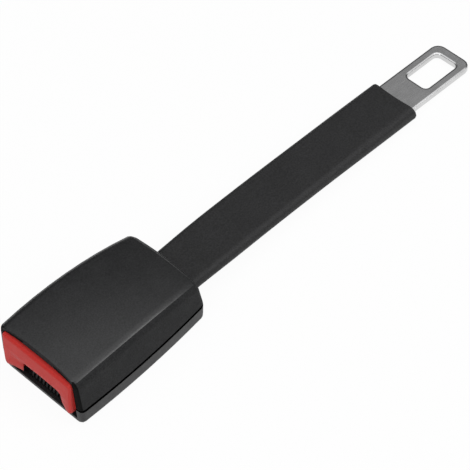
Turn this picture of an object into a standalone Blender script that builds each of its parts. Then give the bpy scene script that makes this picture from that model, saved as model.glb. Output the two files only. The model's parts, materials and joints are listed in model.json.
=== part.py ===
"""Seat belt extender: a push-button buckle joined to a tongue by a sleeved webbing strap.

Axes: +X runs from the buckle's mouth to the tongue's tip, +Y is left, +Z is up.
The origin is the centre of the buckle's flat base, on the surface that the object lies on.
Lengths are in metres.  A depth is a distance behind the buckle's mouth, along +X.
"""
import math

import bmesh
import bpy
from mathutils import Matrix, Vector

MM = 0.001

# Fits between neighbouring pieces
TOUCH_GAP = 0.3 * MM
SLIDE_GAP = 0.3 * MM
PIVOT_GAP = 0.3 * MM

# Buckle housing, outer form
HOUSING_LENGTH = 76.0 * MM
HOUSING_HALF_WIDTH_MOUTH = 24.1 * MM
HOUSING_HALF_WIDTH_MIDDLE = 24.0 * MM
HOUSING_HALF_WIDTH_REAR = 21.2 * MM
HOUSING_HEIGHT_MOUTH = 27.7 * MM
HOUSING_HEIGHT_MIDDLE = 28.6 * MM
HOUSING_HEIGHT_REAR = 24.2 * MM
HOUSING_SIDE_DRAFT = 0.9 * MM
HOUSING_BASE_DRAFT = 0.6 * MM
HOUSING_CROWN = 0.7 * MM
TOP_EDGE_RADIUS = 4.4 * MM
BASE_EDGE_RADIUS = 2.4 * MM
FRONT_CORNER_RADIUS = 2.2 * MM
FRONT_TOP_RADIUS = 0.7 * MM
FRONT_BASE_RADIUS = 1.0 * MM
FRONT_BOW = 1.1 * MM
FRONT_BOW_FADE = 12
REAR_CORNER_RADIUS = 3.0 * MM
REAR_TOP_RADIUS = 3.6 * MM
REAR_BASE_RADIUS = 2.5 * MM
REAR_BOW = 0.6 * MM
REAR_LEAN = 1.4 * MM
PARTING_HEIGHT = 9.5 * MM
PARTING_GROOVE = 0.8 * MM

# Housing walls, ribs and openings
WALL = 2.0 * MM
BEZEL_DEPTH = 1.8 * MM
SEAM_LIP_HEIGHT = 1.3 * MM
SEAM_LIP_INSET = 1.2 * MM
MOUTH_HALF_WIDTH = 21.3 * MM
MOUTH_LINTEL = 2.0 * MM
MOUTH_TOP = HOUSING_HEIGHT_MOUTH - MOUTH_LINTEL
MOUTH_SILL = 2.6 * MM
MOUTH_CORNER_RADIUS = 1.6 * MM
LEAD_IN_RIB_COUNT = 9
LEAD_IN_RIB_PITCH = 2.15 * MM
LEAD_IN_RIB_THICKNESS = 0.95 * MM
LEAD_IN_START = 2.2 * MM
LEAD_IN_LAND = 4.2 * MM
BED_RIB_DEPTHS = (13.0 * MM, 36.0 * MM, 53.0 * MM)
BED_RIB_THICKNESS = 1.4 * MM
COVER_RIB_OFFSET = 9.0 * MM
COVER_RIB_THICKNESS = 1.4 * MM

# Steel frame
FRAME_THICKNESS = 2.2 * MM
FRAME_FRONT = 8.0 * MM
FRAME_BASE_HEIGHT = 4.2 * MM
FRAME_HALF_WIDTH = 16.0 * MM
FRAME_WALL_FRONT = 10.0 * MM
FRAME_WALL_REAR = 56.0 * MM
FRAME_WALL_TOP = 16.0 * MM
FRAME_WALL_CORNER = 2.5 * MM
FRAME_JOGGLE_START = 58.2 * MM
FRAME_JOGGLE_LENGTH = 4.5 * MM
FRAME_TAIL_END = 71.0 * MM
FRAME_TAIL_BAR = 3.6 * MM
FRAME_TAIL_CORNER = 3.0 * MM
WEBBING_SLOT_LENGTH = 3.4 * MM

# Path of the tongue that plugs in, and the plate above it
PATH_HEIGHT = 4.6 * MM
GUIDE_PLATE_THICKNESS = 1.2 * MM
GUIDE_PLATE_FRONT = 11.0 * MM
GUIDE_PLATE_REAR = 22.0 * MM
GUIDE_TAB_LENGTH = 5.0 * MM

# Latch plate, drawn as it lies when dropped, then turned up to its rest place
PIVOT_DEPTH = 50.0 * MM
PIVOT_HEIGHT = 12.5 * MM
PIVOT_RADIUS = 1.5 * MM
LATCH_RAISE = 0.315
LATCH_THICKNESS = 2.5 * MM
LATCH_FRONT = 26.5 * MM
LATCH_REAR = 51.8 * MM
LATCH_HALF_WIDTH = 11.5 * MM
LATCH_OVERHANG = 0.6 * MM
LATCH_FRONT_CORNER = 2.0 * MM
LATCH_REAR_CORNER = 1.0 * MM
NOSE_LENGTH = 3.0 * MM
NOSE_HALF_WIDTH = 5.6 * MM
NOSE_FOOT = 4.6 * MM
NOSE_FRONT_RADIUS = 0.8 * MM
NOSE_REAR_RADIUS = 0.4 * MM
NOSE_SLOT_MARGIN = 1.0 * MM
HUMP_FRONT = 31.5 * MM
HUMP_LENGTH = 3.8 * MM
HUMP_HEIGHT = 4.4 * MM
HUMP_HALF_WIDTH = 8.0 * MM
HUMP_FRONT_RADIUS = 1.2 * MM
HUMP_REAR_RADIUS = 0.5 * MM

# Ejector and its spring
EJECTOR_TRAVEL = 10.0 * MM
EJECTOR_STOP_SPACE = 3.5 * MM
EJECTOR_FRONT = 24.5 * MM
EJECTOR_HALF_WIDTH = 10.5 * MM
EJECTOR_FRONT_CORNER = 0.8 * MM
EJECTOR_REAR_CORNER = 2.0 * MM
EJECTOR_RAMP_LENGTH = 3.2 * MM
EJECTOR_RAMP_DROP = 2.7 * MM
EJECTOR_SLOT_HALF_WIDTH = 2.1 * MM
EJECTOR_SLOT_START = 6.5 * MM
EJECTOR_SPRING_RADIUS = 1.5 * MM
EJECTOR_SPRING_WIRE = 0.25 * MM
EJECTOR_SPRING_TURNS = 9

# Press button with its two arms
BUTTON_TRAVEL = 4.0 * MM
BUTTON_PROUD = 1.2 * MM
BUTTON_FACE_LEAN = 1.3 * MM
BUTTON_FACE_STRIPS = 6
BUTTON_FACE_THICKNESS = 2.8 * MM
BUTTON_FACE_FOOT = 5.2 * MM
BUTTON_FOOT_DRAFT = 0.4 * MM
BUTTON_TOP_CORNER = 1.5 * MM
BUTTON_FOOT_CORNER = 3.4 * MM
BUTTON_EDGE_RADIUS = 1.3 * MM
BUTTON_SHOULDER_RADIUS = 3.0 * MM
BUTTON_BODY_REAR = 9.0 * MM
BUTTON_BODY_HALF_WIDTH = 21.8 * MM
BUTTON_BODY_FLOOR = 14.0 * MM
BUTTON_WALL = 1.8 * MM
ARCH_OUTER_FOOT = 25.0 * MM
ARCH_OUTER_KNEE = 17.8 * MM
ARCH_OUTER_HEAD = 15.6 * MM
ARCH_OUTER_TOP = 17.3 * MM
ARCH_OUTER_RADIUS = 4.6 * MM
ARCH_INNER_FOOT = 11.9 * MM
ARCH_INNER_KNEE = 11.5 * MM
ARCH_INNER_HEAD = 11.4 * MM
ARCH_INNER_TOP = 11.4 * MM
ARCH_INNER_RADIUS = 1.2 * MM
ARCH_KNEE_HEIGHT = 8.5 * MM
ARCH_KNEE_RADIUS = 6.0 * MM
ARCH_CROWN_RADIUS = 12.0 * MM
ARCH_SHOULDER_DROP = 0.4 * MM
ARM_THICKNESS = 2.2 * MM
ARM_BOTTOM = 15.2 * MM
ARM_TOP = 22.6 * MM
ARM_CORNER_RADIUS = 1.5 * MM
LOCK_BAR_FRONT = 37.9 * MM
LOCK_BAR_DEPTH = 3.4 * MM
LOCK_BAR_BOTTOM = 18.6 * MM
LOCK_BAR_HEIGHT = 2.8 * MM
LOCK_BAR_EDGE_RADIUS = 0.4 * MM
BUTTON_SPRING_RADIUS = 2.0 * MM
BUTTON_SPRING_WIRE = 0.3 * MM
BUTTON_SPRING_TURNS = 5
BUTTON_SPRING_PRESSED_LENGTH = 6.4 * MM

# Spring carrier and latch spring
CARRIER_FRONT = 54.0 * MM
CARRIER_DEPTH = 5.0 * MM
CARRIER_HALF_WIDTH = 19.6 * MM
CARRIER_THICKNESS = 3.2 * MM
CARRIER_CHEEK_WIDTH = 4.4 * MM
CARRIER_CHEEK_TOP = 21.4 * MM
CARRIER_CHEEK_RADIUS = 1.0 * MM
CARRIER_EDGE_RADIUS = 0.6 * MM
CARRIER_SKIRT = 1.2 * MM
CARRIER_LEG_HALF_WIDTH = 5.0 * MM
CARRIER_LEG_DEPTH = 2.4 * MM
LEAF_THICKNESS = 0.5 * MM
LEAF_HALF_WIDTH = 5.0 * MM
LEAF_TIP = 44.5 * MM
LEAF_LIP_LENGTH = 1.0 * MM

# Strap
WEBBING_THICKNESS = 1.1 * MM
WEBBING_WIDTH = 20.8 * MM
STRAP_HEIGHT_AT_BUCKLE = 9.4 * MM
STRAP_SLOPE_AT_BUCKLE = 0.02
PLY_HALF_GAP = 0.2 * MM
PLY_MERGE_LENGTH = 7.0 * MM
STITCH_COUNT = 14
STITCH_RADIUS = 0.25 * MM
STITCH_SEAM_LENGTH = 18.0 * MM
STITCH_EDGE_MARGIN = 2.5 * MM
SHEATH_HALF_WIDTH = 13.5 * MM
SHEATH_HALF_WIDTH_AT_BUCKLE = 13.0 * MM
SHEATH_WIDENING_LENGTH = 30.0 * MM
SHEATH_HALF_THICKNESS = 3.1 * MM
SHEATH_END_HALF_THICKNESS = 3.9 * MM
SHEATH_WALL = 0.7 * MM
SHEATH_SWELL_LENGTH = 40.0 * MM
SHEATH_FULL_LENGTH = 20.0 * MM
SHEATH_INSIDE_HOUSING = 2.0 * MM
SHEATH_END_SCOOP = 0.8 * MM

# Tongue
TONGUE_TIP_DEPTH = 261.7 * MM
TONGUE_THICKNESS = 3.0 * MM
TONGUE_PITCH = math.radians(3.5)
TONGUE_HALF_WIDTH = 10.65 * MM
TONGUE_SHOWN_LENGTH = 41.8 * MM
TONGUE_TIP_RADIUS = 4.6 * MM
TONGUE_WINDOW_HALF_WIDTH = 6.35 * MM
TONGUE_WINDOW_LENGTH = 22.2 * MM
TONGUE_TIP_BAR = 5.3 * MM
TONGUE_WINDOW_RADIUS = 2.4 * MM
TONGUE_EDGE_CHAMFER = 0.6 * MM
TONGUE_HEAD_LENGTH = 15.0 * MM
TONGUE_HEAD_TAPER = 3.0 * MM
TONGUE_HEAD_BAR = 4.0 * MM
TONGUE_HEAD_SLOT_LENGTH = 3.4 * MM
TONGUE_HEAD_SIDE = 1.5 * MM
TONGUE_HEAD_RADIUS = 2.0 * MM
TONGUE_SHOULDER_RADIUS = 1.0 * MM
TONGUE_HEAD_SLOT_RADIUS = 0.6 * MM

# Places that follow from the sizes above
MOUTH_X = -HOUSING_LENGTH / 2
PATH_FLOOR = FRAME_BASE_HEIGHT + FRAME_THICKNESS
EJECTOR_HEIGHT = PATH_HEIGHT - 2 * SLIDE_GAP
EJECTOR_LENGTH = CARRIER_FRONT - EJECTOR_FRONT - EJECTOR_TRAVEL - EJECTOR_STOP_SPACE
ARM_REAR = CARRIER_FRONT - BUTTON_TRAVEL - BUTTON_SPRING_PRESSED_LENGTH
STRAP_END = TONGUE_TIP_DEPTH - TONGUE_SHOWN_LENGTH


def x_at(depth):
    """X of a place that lies this far behind the mouth."""
    return MOUTH_X + depth


# Mesh helpers

def make_material(name, color, roughness, metallic=0.0):
    """Principled material."""
    material = bpy.data.materials.new(name)
    material.use_nodes = True
    shader = material.node_tree.nodes["Principled BSDF"]
    shader.inputs["Base Color"].default_value = (*color, 1.0)
    shader.inputs["Roughness"].default_value = roughness
    shader.inputs["Metallic"].default_value = metallic
    material.diffuse_color = (*color, 1.0)
    return material


def make_object(name, bm):
    """Turn a bmesh into a linked object with its faces turned outward."""
    bmesh.ops.recalc_face_normals(bm, faces=bm.faces)
    mesh = bpy.data.meshes.new(name)
    bm.to_mesh(mesh)
    bm.free()
    thing = bpy.data.objects.new(name, mesh)
    bpy.context.scene.collection.objects.link(thing)
    return thing


def finish(thing, material, sharp_angle=math.radians(35)):
    """Give a finished piece its one material and its shading."""
    mesh = thing.data
    mesh.materials.clear()
    mesh.materials.append(material)
    mesh.shade_smooth()
    mesh.set_sharp_from_angle(angle=sharp_angle)
    return thing


def bake_modifiers(thing):
    """Replace a piece's mesh by what its modifiers make of it."""
    depsgraph = bpy.context.evaluated_depsgraph_get()
    mesh = bpy.data.meshes.new_from_object(thing.evaluated_get(depsgraph))
    thing.modifiers.clear()
    thing.data = mesh


def combine(target, tools, operation):
    """Boolean each tool into the target, then remove the tools."""
    for tool in tools:
        modifier = target.modifiers.new("combine", "BOOLEAN")
        modifier.operation = operation
        modifier.solver = "EXACT"
        modifier.object = tool
        bake_modifiers(target)
        bpy.data.objects.remove(tool)
    return target


def bevel_edges(thing, width, segments, angle=math.radians(50)):
    """Round or chamfer every edge sharper than the angle."""
    modifier = thing.modifiers.new("edges", "BEVEL")
    modifier.width = width
    modifier.segments = segments
    modifier.limit_method = "ANGLE"
    modifier.angle_limit = angle
    bake_modifiers(thing)
    return thing


def fillet_outline(corners, steps=4):
    """Closed outline from (a, b, radius) corners, each rounded by an arc."""
    outline = []
    count = len(corners)
    for index, (a, b, radius) in enumerate(corners):
        corner = Vector((a, b))
        if radius <= 0:
            outline.append(corner)
            continue
        before = Vector(corners[index - 1][:2]) - corner
        after = Vector(corners[(index + 1) % count][:2]) - corner
        half_angle = before.angle(after) / 2
        reach = min(radius / math.tan(half_angle), 0.49 * before.length, 0.49 * after.length)
        rounding = reach * math.tan(half_angle)
        bisector = (before.normalized() + after.normalized()).normalized()
        centre = corner + bisector * (rounding / math.sin(half_angle))
        start = corner + before.normalized() * reach - centre
        end = corner + after.normalized() * reach - centre
        sweep = start.angle_signed(end)
        for step in range(steps + 1):
            outline.append(centre + Matrix.Rotation(-sweep * step / steps, 2) @ start)
    return outline


def on_axis(axis, along, a, b):
    """Point whose place along the axis is given first, and the other two in X, Y, Z order."""
    if axis == "X":
        return Vector((along, a, b))
    if axis == "Y":
        return Vector((a, along, b))
    return Vector((a, b, along))


def prism(name, axis, outline, start, end):
    """Solid with one outline from start to end along an axis."""
    bm = bmesh.new()
    face = bm.faces.new([bm.verts.new(on_axis(axis, start, a, b)) for a, b in outline])
    extruded = bmesh.ops.extrude_face_region(bm, geom=[face])
    moved = [item for item in extruded["geom"] if isinstance(item, bmesh.types.BMVert)]
    bmesh.ops.translate(bm, verts=moved, vec=on_axis(axis, end - start, 0, 0))
    return make_object(name, bm)


def block(name, x_range, y_range, z_range):
    """Plain rectangular solid."""
    outline = [
        (x_range[0], y_range[0]),
        (x_range[1], y_range[0]),
        (x_range[1], y_range[1]),
        (x_range[0], y_range[1]),
    ]
    return prism(name, "Z", outline, z_range[0], z_range[1])


def rod(name, axis, centre, radius, start, end, sides=20):
    """Round bar along an axis; centre holds its other two coordinates."""
    turns = [2 * math.pi * (side + 0.5) / sides for side in range(sides)]
    outline = [(centre[0] + radius * math.cos(t), centre[1] + radius * math.sin(t)) for t in turns]
    return prism(name, axis, outline, start, end)


def ring_of(bm, points):
    """Closed loop of new edges through the points."""
    verts = [bm.verts.new(point) for point in points]
    return [bm.edges.new((verts[i - 1], verts[i])) for i in range(len(verts))]


def bridge(bm, ring_a, ring_b):
    """Wall of quads between two loops that start at matching points."""
    for edge_a, edge_b in zip(ring_a, ring_b):
        bm.faces.new((*edge_a.verts, *reversed(edge_b.verts)))


def loft(name, rings):
    """Solid through a row of sections, capped at both ends."""
    bm = bmesh.new()
    loops = [ring_of(bm, ring) for ring in rings]
    for front, back in zip(loops, loops[1:]):
        bridge(bm, front, back)
    caps = []
    for loop in (loops[0], loops[-1]):
        caps += bmesh.ops.contextual_create(bm, geom=loop)["faces"]
    bmesh.ops.triangulate(bm, faces=caps)
    return make_object(name, bm)


def sleeve(name, outer_rings, inner_rings):
    """Open tube between an outer and an inner row of sections."""
    bm = bmesh.new()
    outer = [ring_of(bm, ring) for ring in outer_rings]
    inner = [ring_of(bm, ring) for ring in inner_rings]
    for loops in (outer, inner):
        for front, back in zip(loops, loops[1:]):
            bridge(bm, front, back)
    bridge(bm, outer[0], inner[0])
    bridge(bm, outer[-1], inner[-1])
    return make_object(name, bm)


def wire_along(name, material, points, radius):
    """Round wire through a row of points."""
    curve = bpy.data.curves.new(name, "CURVE")
    curve.dimensions = "3D"
    curve.bevel_depth = radius
    curve.bevel_resolution = 1
    curve.use_fill_caps = True
    spline = curve.splines.new("POLY")
    spline.points.add(len(points) - 1)
    for target, point in zip(spline.points, points):
        target.co = (*point, 1.0)
    wire = bpy.data.objects.new(name, curve)
    bpy.context.scene.collection.objects.link(wire)
    curve.materials.append(material)
    return wire


def coil(name, material, start, length, radius, wire, turns):
    """Compression spring along +X from a start point."""
    points_per_turn = 12
    count = turns * points_per_turn
    points = []
    for index in range(count + 1):
        angle = 2 * math.pi * index / points_per_turn
        x = start[0] + wire + (length - 2 * wire) * index / count
        y = start[1] + (radius - wire) * math.cos(angle)
        z = start[2] + (radius - wire) * math.sin(angle)
        points.append((x, y, z))
    return wire_along(name, material, points, wire)


# Housing form

def through_three(share, start, middle, end):
    """Parabola through its values at the start, the middle and the end."""
    at_start = start * (1 - share) * (1 - 2 * share)
    at_middle = middle * 4 * share * (1 - share)
    at_end = end * share * (2 * share - 1)
    return at_start + at_middle + at_end


def end_round(distance, radius):
    """How far an edge of this radius draws the wall in at a distance from the end face."""
    if distance >= radius:
        return 0.0
    return radius - math.sqrt(max(radius ** 2 - (radius - max(distance, 0.0)) ** 2, 0.0))


def housing_section(depth, inset):
    """Section of the housing at a depth, drawn in by inset on every side."""
    share = depth / HOUSING_LENGTH
    half_top = through_three(
        share, HOUSING_HALF_WIDTH_MOUTH, HOUSING_HALF_WIDTH_MIDDLE, HOUSING_HALF_WIDTH_REAR)
    height = through_three(
        share, HOUSING_HEIGHT_MOUTH, HOUSING_HEIGHT_MIDDLE, HOUSING_HEIGHT_REAR) - inset
    from_front = depth - inset
    from_rear = HOUSING_LENGTH - inset - depth
    corner = end_round(from_rear, REAR_CORNER_RADIUS - inset)
    if inset == 0:
        corner += end_round(from_front, FRONT_CORNER_RADIUS)
        height -= end_round(from_front, FRONT_TOP_RADIUS)
    height -= end_round(from_rear, REAR_TOP_RADIUS - inset)
    floor = inset + end_round(from_front, FRONT_BASE_RADIUS - inset)
    floor += end_round(from_rear, REAR_BASE_RADIUS - inset)
    half_top -= inset + corner
    half_parting = half_top + HOUSING_SIDE_DRAFT
    half_base = half_parting - HOUSING_BASE_DRAFT
    top_radius = TOP_EDGE_RADIUS - inset
    base_radius = BASE_EDGE_RADIUS - inset
    side = []
    arc_steps = 4 if inset == 0 else 2
    for step in range(arc_steps + 1):
        angle = math.pi / 2 * step / arc_steps
        y = half_base - base_radius + base_radius * math.sin(angle)
        side.append((y, floor + base_radius - base_radius * math.cos(angle)))
    side.append((half_parting, PARTING_HEIGHT))
    arc_steps = 7 if inset == 0 else 3
    for step in range(arc_steps + 1):
        angle = math.pi / 2 * step / arc_steps
        y = half_top - top_radius + top_radius * math.cos(angle)
        side.append((y, height - top_radius + top_radius * math.sin(angle)))
    flat = half_top - top_radius
    for share_out in (0.75, 0.5, 0.25):
        crown = HOUSING_CROWN * (1 - share_out ** 2)
        side.append((flat * share_out, height + crown))
    top = [(0.0, height + HOUSING_CROWN)]
    base = [(0.0, floor)]
    mirrored = [(-y, z) for y, z in reversed(side)]
    section = base + side + top + mirrored
    rear_pull = share ** 4
    front_pull = max(1 - share, 0.0) ** FRONT_BOW_FADE if inset == 0 else 0.0
    points = []
    for y, z in section:
        bow = REAR_BOW * (y / HOUSING_HALF_WIDTH_REAR) ** 2
        lean = REAR_LEAN * max(z - PARTING_HEIGHT, 0.0) / (HOUSING_HEIGHT_REAR - PARTING_HEIGHT)
        lift = max(z - PARTING_HEIGHT, 0.0) / (HOUSING_HEIGHT_MOUTH - PARTING_HEIGHT)
        recess = FRONT_BOW * max(1 - abs(y / MOUTH_HALF_WIDTH) ** 3, 0.0) * lift
        x = x_at(depth) - (bow + lean) * rear_pull + recess * front_pull
        points.append(Vector((x, y, z)))
    return points


def housing_solid(name, inset, front, rear):
    """Housing's form, drawn in by inset, between two depths."""
    corner = REAR_CORNER_RADIUS - inset
    depths = [front]
    if inset == 0:
        depths = [front + FRONT_CORNER_RADIUS * (1 - math.cos(math.radians(a))) for a in (0, 30, 60, 90)]
    straight = rear - corner - depths[-1]
    pieces = 8 if inset == 0 else 6
    depths += [depths[-1] + straight * (index + 1) / pieces for index in range(pieces)]
    turns = (22.5, 45, 67.5, 90) if inset == 0 else (45, 90)
    depths += [rear - corner + corner * math.sin(math.radians(a)) for a in turns]
    return loft(name, [housing_section(depth, inset) for depth in depths])


def slab(name, bottom, top):
    """Block wider than the housing between two heights."""
    reach = HOUSING_LENGTH
    return block(name, (-reach, reach), (-reach, reach), (bottom, top))


def mouth_cutter():
    """Opening in the front of the housing that the button fills."""
    outline = fillet_outline([
        (-MOUTH_HALF_WIDTH, MOUTH_SILL, 0),
        (MOUTH_HALF_WIDTH, MOUTH_SILL, 0),
        (MOUTH_HALF_WIDTH, MOUTH_TOP, MOUTH_CORNER_RADIUS),
        (-MOUTH_HALF_WIDTH, MOUTH_TOP, MOUTH_CORNER_RADIUS),
    ])
    return prism("mouth_cutter", "X", outline, x_at(-BEZEL_DEPTH), x_at(BEZEL_DEPTH + WALL))


def strap_port_cutter():
    """Opening in the rear wall that the sheath runs through."""
    half_width = SHEATH_HALF_WIDTH_AT_BUCKLE + SLIDE_GAP
    half_height = SHEATH_HALF_THICKNESS + SLIDE_GAP
    outline = fillet_outline([
        (-half_width, STRAP_HEIGHT_AT_BUCKLE - half_height, half_height * 0.9),
        (half_width, STRAP_HEIGHT_AT_BUCKLE - half_height, half_height * 0.9),
        (half_width, STRAP_HEIGHT_AT_BUCKLE + half_height, half_height * 0.9),
        (-half_width, STRAP_HEIGHT_AT_BUCKLE + half_height, half_height * 0.9),
    ])
    start = x_at(HOUSING_LENGTH - 3 * WALL)
    return prism("strap_port_cutter", "X", outline, start, x_at(HOUSING_LENGTH + WALL))


def build_upper_cover(material):
    """Crowned cover: roof, sides and rear wall above the parting line."""
    cover = housing_solid("upper_cover", 0.0, 0.0, HOUSING_LENGTH)
    below = PARTING_HEIGHT + PARTING_GROOVE / 2
    rebate_inset = SEAM_LIP_INSET - TOUCH_GAP
    rebate = housing_solid("rebate", rebate_inset, BEZEL_DEPTH, HOUSING_LENGTH - rebate_inset)
    rebate_top = PARTING_HEIGHT + SEAM_LIP_HEIGHT + TOUCH_GAP
    combine(rebate, [slab("above_rebate", rebate_top, HOUSING_LENGTH)], "DIFFERENCE")
    cavity = housing_solid("cavity", WALL, BEZEL_DEPTH, HOUSING_LENGTH - WALL)
    cutters = [
        slab("below", -HOUSING_LENGTH, below),
        cavity,
        rebate,
        mouth_cutter(),
        strap_port_cutter(),
    ]
    combine(cover, cutters, "DIFFERENCE")
    ribs = []
    for side in (-1, 1):
        near = side * COVER_RIB_OFFSET - COVER_RIB_THICKNESS / 2
        foot = FRAME_WALL_TOP + 2 * TOUCH_GAP + CARRIER_THICKNESS
        rib = block(
            "cover_rib",
            (x_at(CARRIER_FRONT + TOUCH_GAP), x_at(CARRIER_FRONT + CARRIER_DEPTH)),
            (near, near + COVER_RIB_THICKNESS),
            (foot, HOUSING_HEIGHT_MIDDLE - WALL - TOUCH_GAP),
        )
        ribs.append(rib)
    combine(cover, ribs, "UNION")
    return finish(cover, material)


def lead_in_rib(y):
    """Fin under the mouth whose top leads a tongue up onto the frame."""
    run_end = FRAME_FRONT - TOUCH_GAP
    outline = [
        (x_at(LEAD_IN_START), WALL / 2),
        (x_at(run_end), WALL / 2),
        (x_at(run_end), PATH_FLOOR),
        (x_at(run_end - LEAD_IN_LAND), PATH_FLOOR),
        (x_at(LEAD_IN_START), MOUTH_SILL + TOUCH_GAP),
    ]
    near = y - LEAD_IN_RIB_THICKNESS / 2
    return prism("lead_in_rib", "Y", outline, near, near + LEAD_IN_RIB_THICKNESS)


def build_lower_cover(material):
    """Tray under the parting line, with its seam lip, lead-in fins and frame bed."""
    cover = housing_solid("lower_cover", 0.0, 0.0, HOUSING_LENGTH)
    above = PARTING_HEIGHT - PARTING_GROOVE / 2
    combine(cover, [slab("above", above, HOUSING_LENGTH)], "DIFFERENCE")
    lip = housing_solid("lip", SEAM_LIP_INSET, BEZEL_DEPTH + TOUCH_GAP, HOUSING_LENGTH - SEAM_LIP_INSET)
    lip_top = PARTING_HEIGHT + SEAM_LIP_HEIGHT
    combine(lip, [slab("above_lip", lip_top, HOUSING_LENGTH)], "DIFFERENCE")
    combine(cover, [lip], "UNION")
    cavity = housing_solid("cavity", WALL, BEZEL_DEPTH, HOUSING_LENGTH - WALL)
    combine(cover, [cavity, mouth_cutter(), strap_port_cutter()], "DIFFERENCE")
    ribs = []
    for index in range(LEAD_IN_RIB_COUNT):
        ribs.append(lead_in_rib((index - (LEAD_IN_RIB_COUNT - 1) / 2) * LEAD_IN_RIB_PITCH))
    for depth in BED_RIB_DEPTHS:
        near = x_at(depth)
        rib = block(
            "bed_rib",
            (near, near + BED_RIB_THICKNESS),
            (-FRAME_HALF_WIDTH, FRAME_HALF_WIDTH),
            (WALL / 2, FRAME_BASE_HEIGHT - TOUCH_GAP),
        )
        ribs.append(rib)
    combine(cover, ribs, "UNION")
    return finish(cover, material)


# Steel parts in the buckle

def frame_tail_height():
    """Underside of the frame's raised tail, which centres it on the strap."""
    return STRAP_HEIGHT_AT_BUCKLE - FRAME_THICKNESS / 2


def build_frame(material):
    """Stamped channel: base with nose slot, two walls, raised tail with webbing slot."""
    low = FRAME_BASE_HEIGHT
    high = frame_tail_height()
    thick = FRAME_THICKNESS
    joggle_end = FRAME_JOGGLE_START + FRAME_JOGGLE_LENGTH
    side_view = [
        (x_at(FRAME_FRONT), low),
        (x_at(FRAME_JOGGLE_START), low),
        (x_at(joggle_end), high),
        (x_at(FRAME_TAIL_END), high),
        (x_at(FRAME_TAIL_END), high + thick),
        (x_at(joggle_end - thick / 2), high + thick),
        (x_at(FRAME_JOGGLE_START - thick / 2), low + thick),
        (x_at(FRAME_FRONT), low + thick),
    ]
    frame = prism("buckle_frame", "Y", side_view, -FRAME_HALF_WIDTH, FRAME_HALF_WIDTH)
    wall_outline = fillet_outline([
        (x_at(FRAME_WALL_FRONT), low + thick / 2, 0),
        (x_at(FRAME_WALL_REAR), low + thick / 2, 0),
        (x_at(FRAME_WALL_REAR), FRAME_WALL_TOP, FRAME_WALL_CORNER),
        (x_at(FRAME_WALL_FRONT), FRAME_WALL_TOP, FRAME_WALL_CORNER),
    ])
    walls = []
    for side in (-1, 1):
        outer = side * FRAME_HALF_WIDTH
        inner = outer - side * thick
        walls.append(prism("frame_wall", "Y", wall_outline, min(inner, outer), max(inner, outer)))
    combine(frame, walls, "UNION")
    corners = fillet_outline([
        (x_at(FRAME_FRONT) - thick, -FRAME_HALF_WIDTH, 0),
        (x_at(FRAME_TAIL_END), -FRAME_HALF_WIDTH, FRAME_TAIL_CORNER),
        (x_at(FRAME_TAIL_END), FRAME_HALF_WIDTH, FRAME_TAIL_CORNER),
        (x_at(FRAME_FRONT) - thick, FRAME_HALF_WIDTH, 0),
    ])
    trim = prism("tail_trim", "Z", corners, -thick, 2 * FRAME_WALL_TOP)
    combine(frame, [trim], "INTERSECT")
    slot_half = NOSE_HALF_WIDTH + NOSE_SLOT_MARGIN
    nose_slot = block(
        "nose_slot",
        (x_at(LATCH_FRONT - NOSE_SLOT_MARGIN), x_at(LATCH_FRONT + NOSE_LENGTH + NOSE_SLOT_MARGIN)),
        (-slot_half, slot_half),
        (low - thick, low + 2 * thick),
    )
    slot_rear = FRAME_TAIL_END - FRAME_TAIL_BAR
    slot_front = slot_rear - WEBBING_SLOT_LENGTH
    webbing_half = WEBBING_WIDTH / 2 + TOUCH_GAP
    webbing_slot = block(
        "webbing_slot",
        (x_at(slot_front), x_at(slot_rear)),
        (-webbing_half, webbing_half),
        (low, high + 2 * thick),
    )
    pivot_hole = rod(
        "pivot_hole", "Y", (x_at(PIVOT_DEPTH), PIVOT_HEIGHT), PIVOT_RADIUS + PIVOT_GAP,
        -2 * FRAME_HALF_WIDTH, 2 * FRAME_HALF_WIDTH)
    path_top = PATH_FLOOR + PATH_HEIGHT
    middle = (GUIDE_PLATE_FRONT + GUIDE_PLATE_REAR) / 2
    tab_hole = block(
        "tab_hole",
        (x_at(middle - GUIDE_TAB_LENGTH / 2 - TOUCH_GAP), x_at(middle + GUIDE_TAB_LENGTH / 2 + TOUCH_GAP)),
        (-2 * FRAME_HALF_WIDTH, 2 * FRAME_HALF_WIDTH),
        (path_top - TOUCH_GAP, path_top + GUIDE_PLATE_THICKNESS + TOUCH_GAP),
    )
    combine(frame, [nose_slot, webbing_slot, pivot_hole, tab_hole], "DIFFERENCE")
    return finish(frame, material)


def build_guide_plate(material):
    """Plate across the frame that roofs the tongue's path, held by a tab in each wall."""
    bottom = PATH_FLOOR + PATH_HEIGHT
    half = FRAME_HALF_WIDTH - FRAME_THICKNESS - TOUCH_GAP
    middle = (GUIDE_PLATE_FRONT + GUIDE_PLATE_REAR) / 2
    tab_half = GUIDE_TAB_LENGTH / 2
    reach = FRAME_HALF_WIDTH - TOUCH_GAP
    front = x_at(GUIDE_PLATE_FRONT)
    rear = x_at(GUIDE_PLATE_REAR)
    outline = [
        (front, -half),
        (x_at(middle - tab_half), -half),
        (x_at(middle - tab_half), -reach),
        (x_at(middle + tab_half), -reach),
        (x_at(middle + tab_half), -half),
        (rear, -half),
        (rear, half),
        (x_at(middle + tab_half), half),
        (x_at(middle + tab_half), reach),
        (x_at(middle - tab_half), reach),
        (x_at(middle - tab_half), half),
        (front, half),
    ]
    plate = prism("guide_plate", "Z", outline, bottom, bottom + GUIDE_PLATE_THICKNESS)
    return finish(plate, material)


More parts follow.
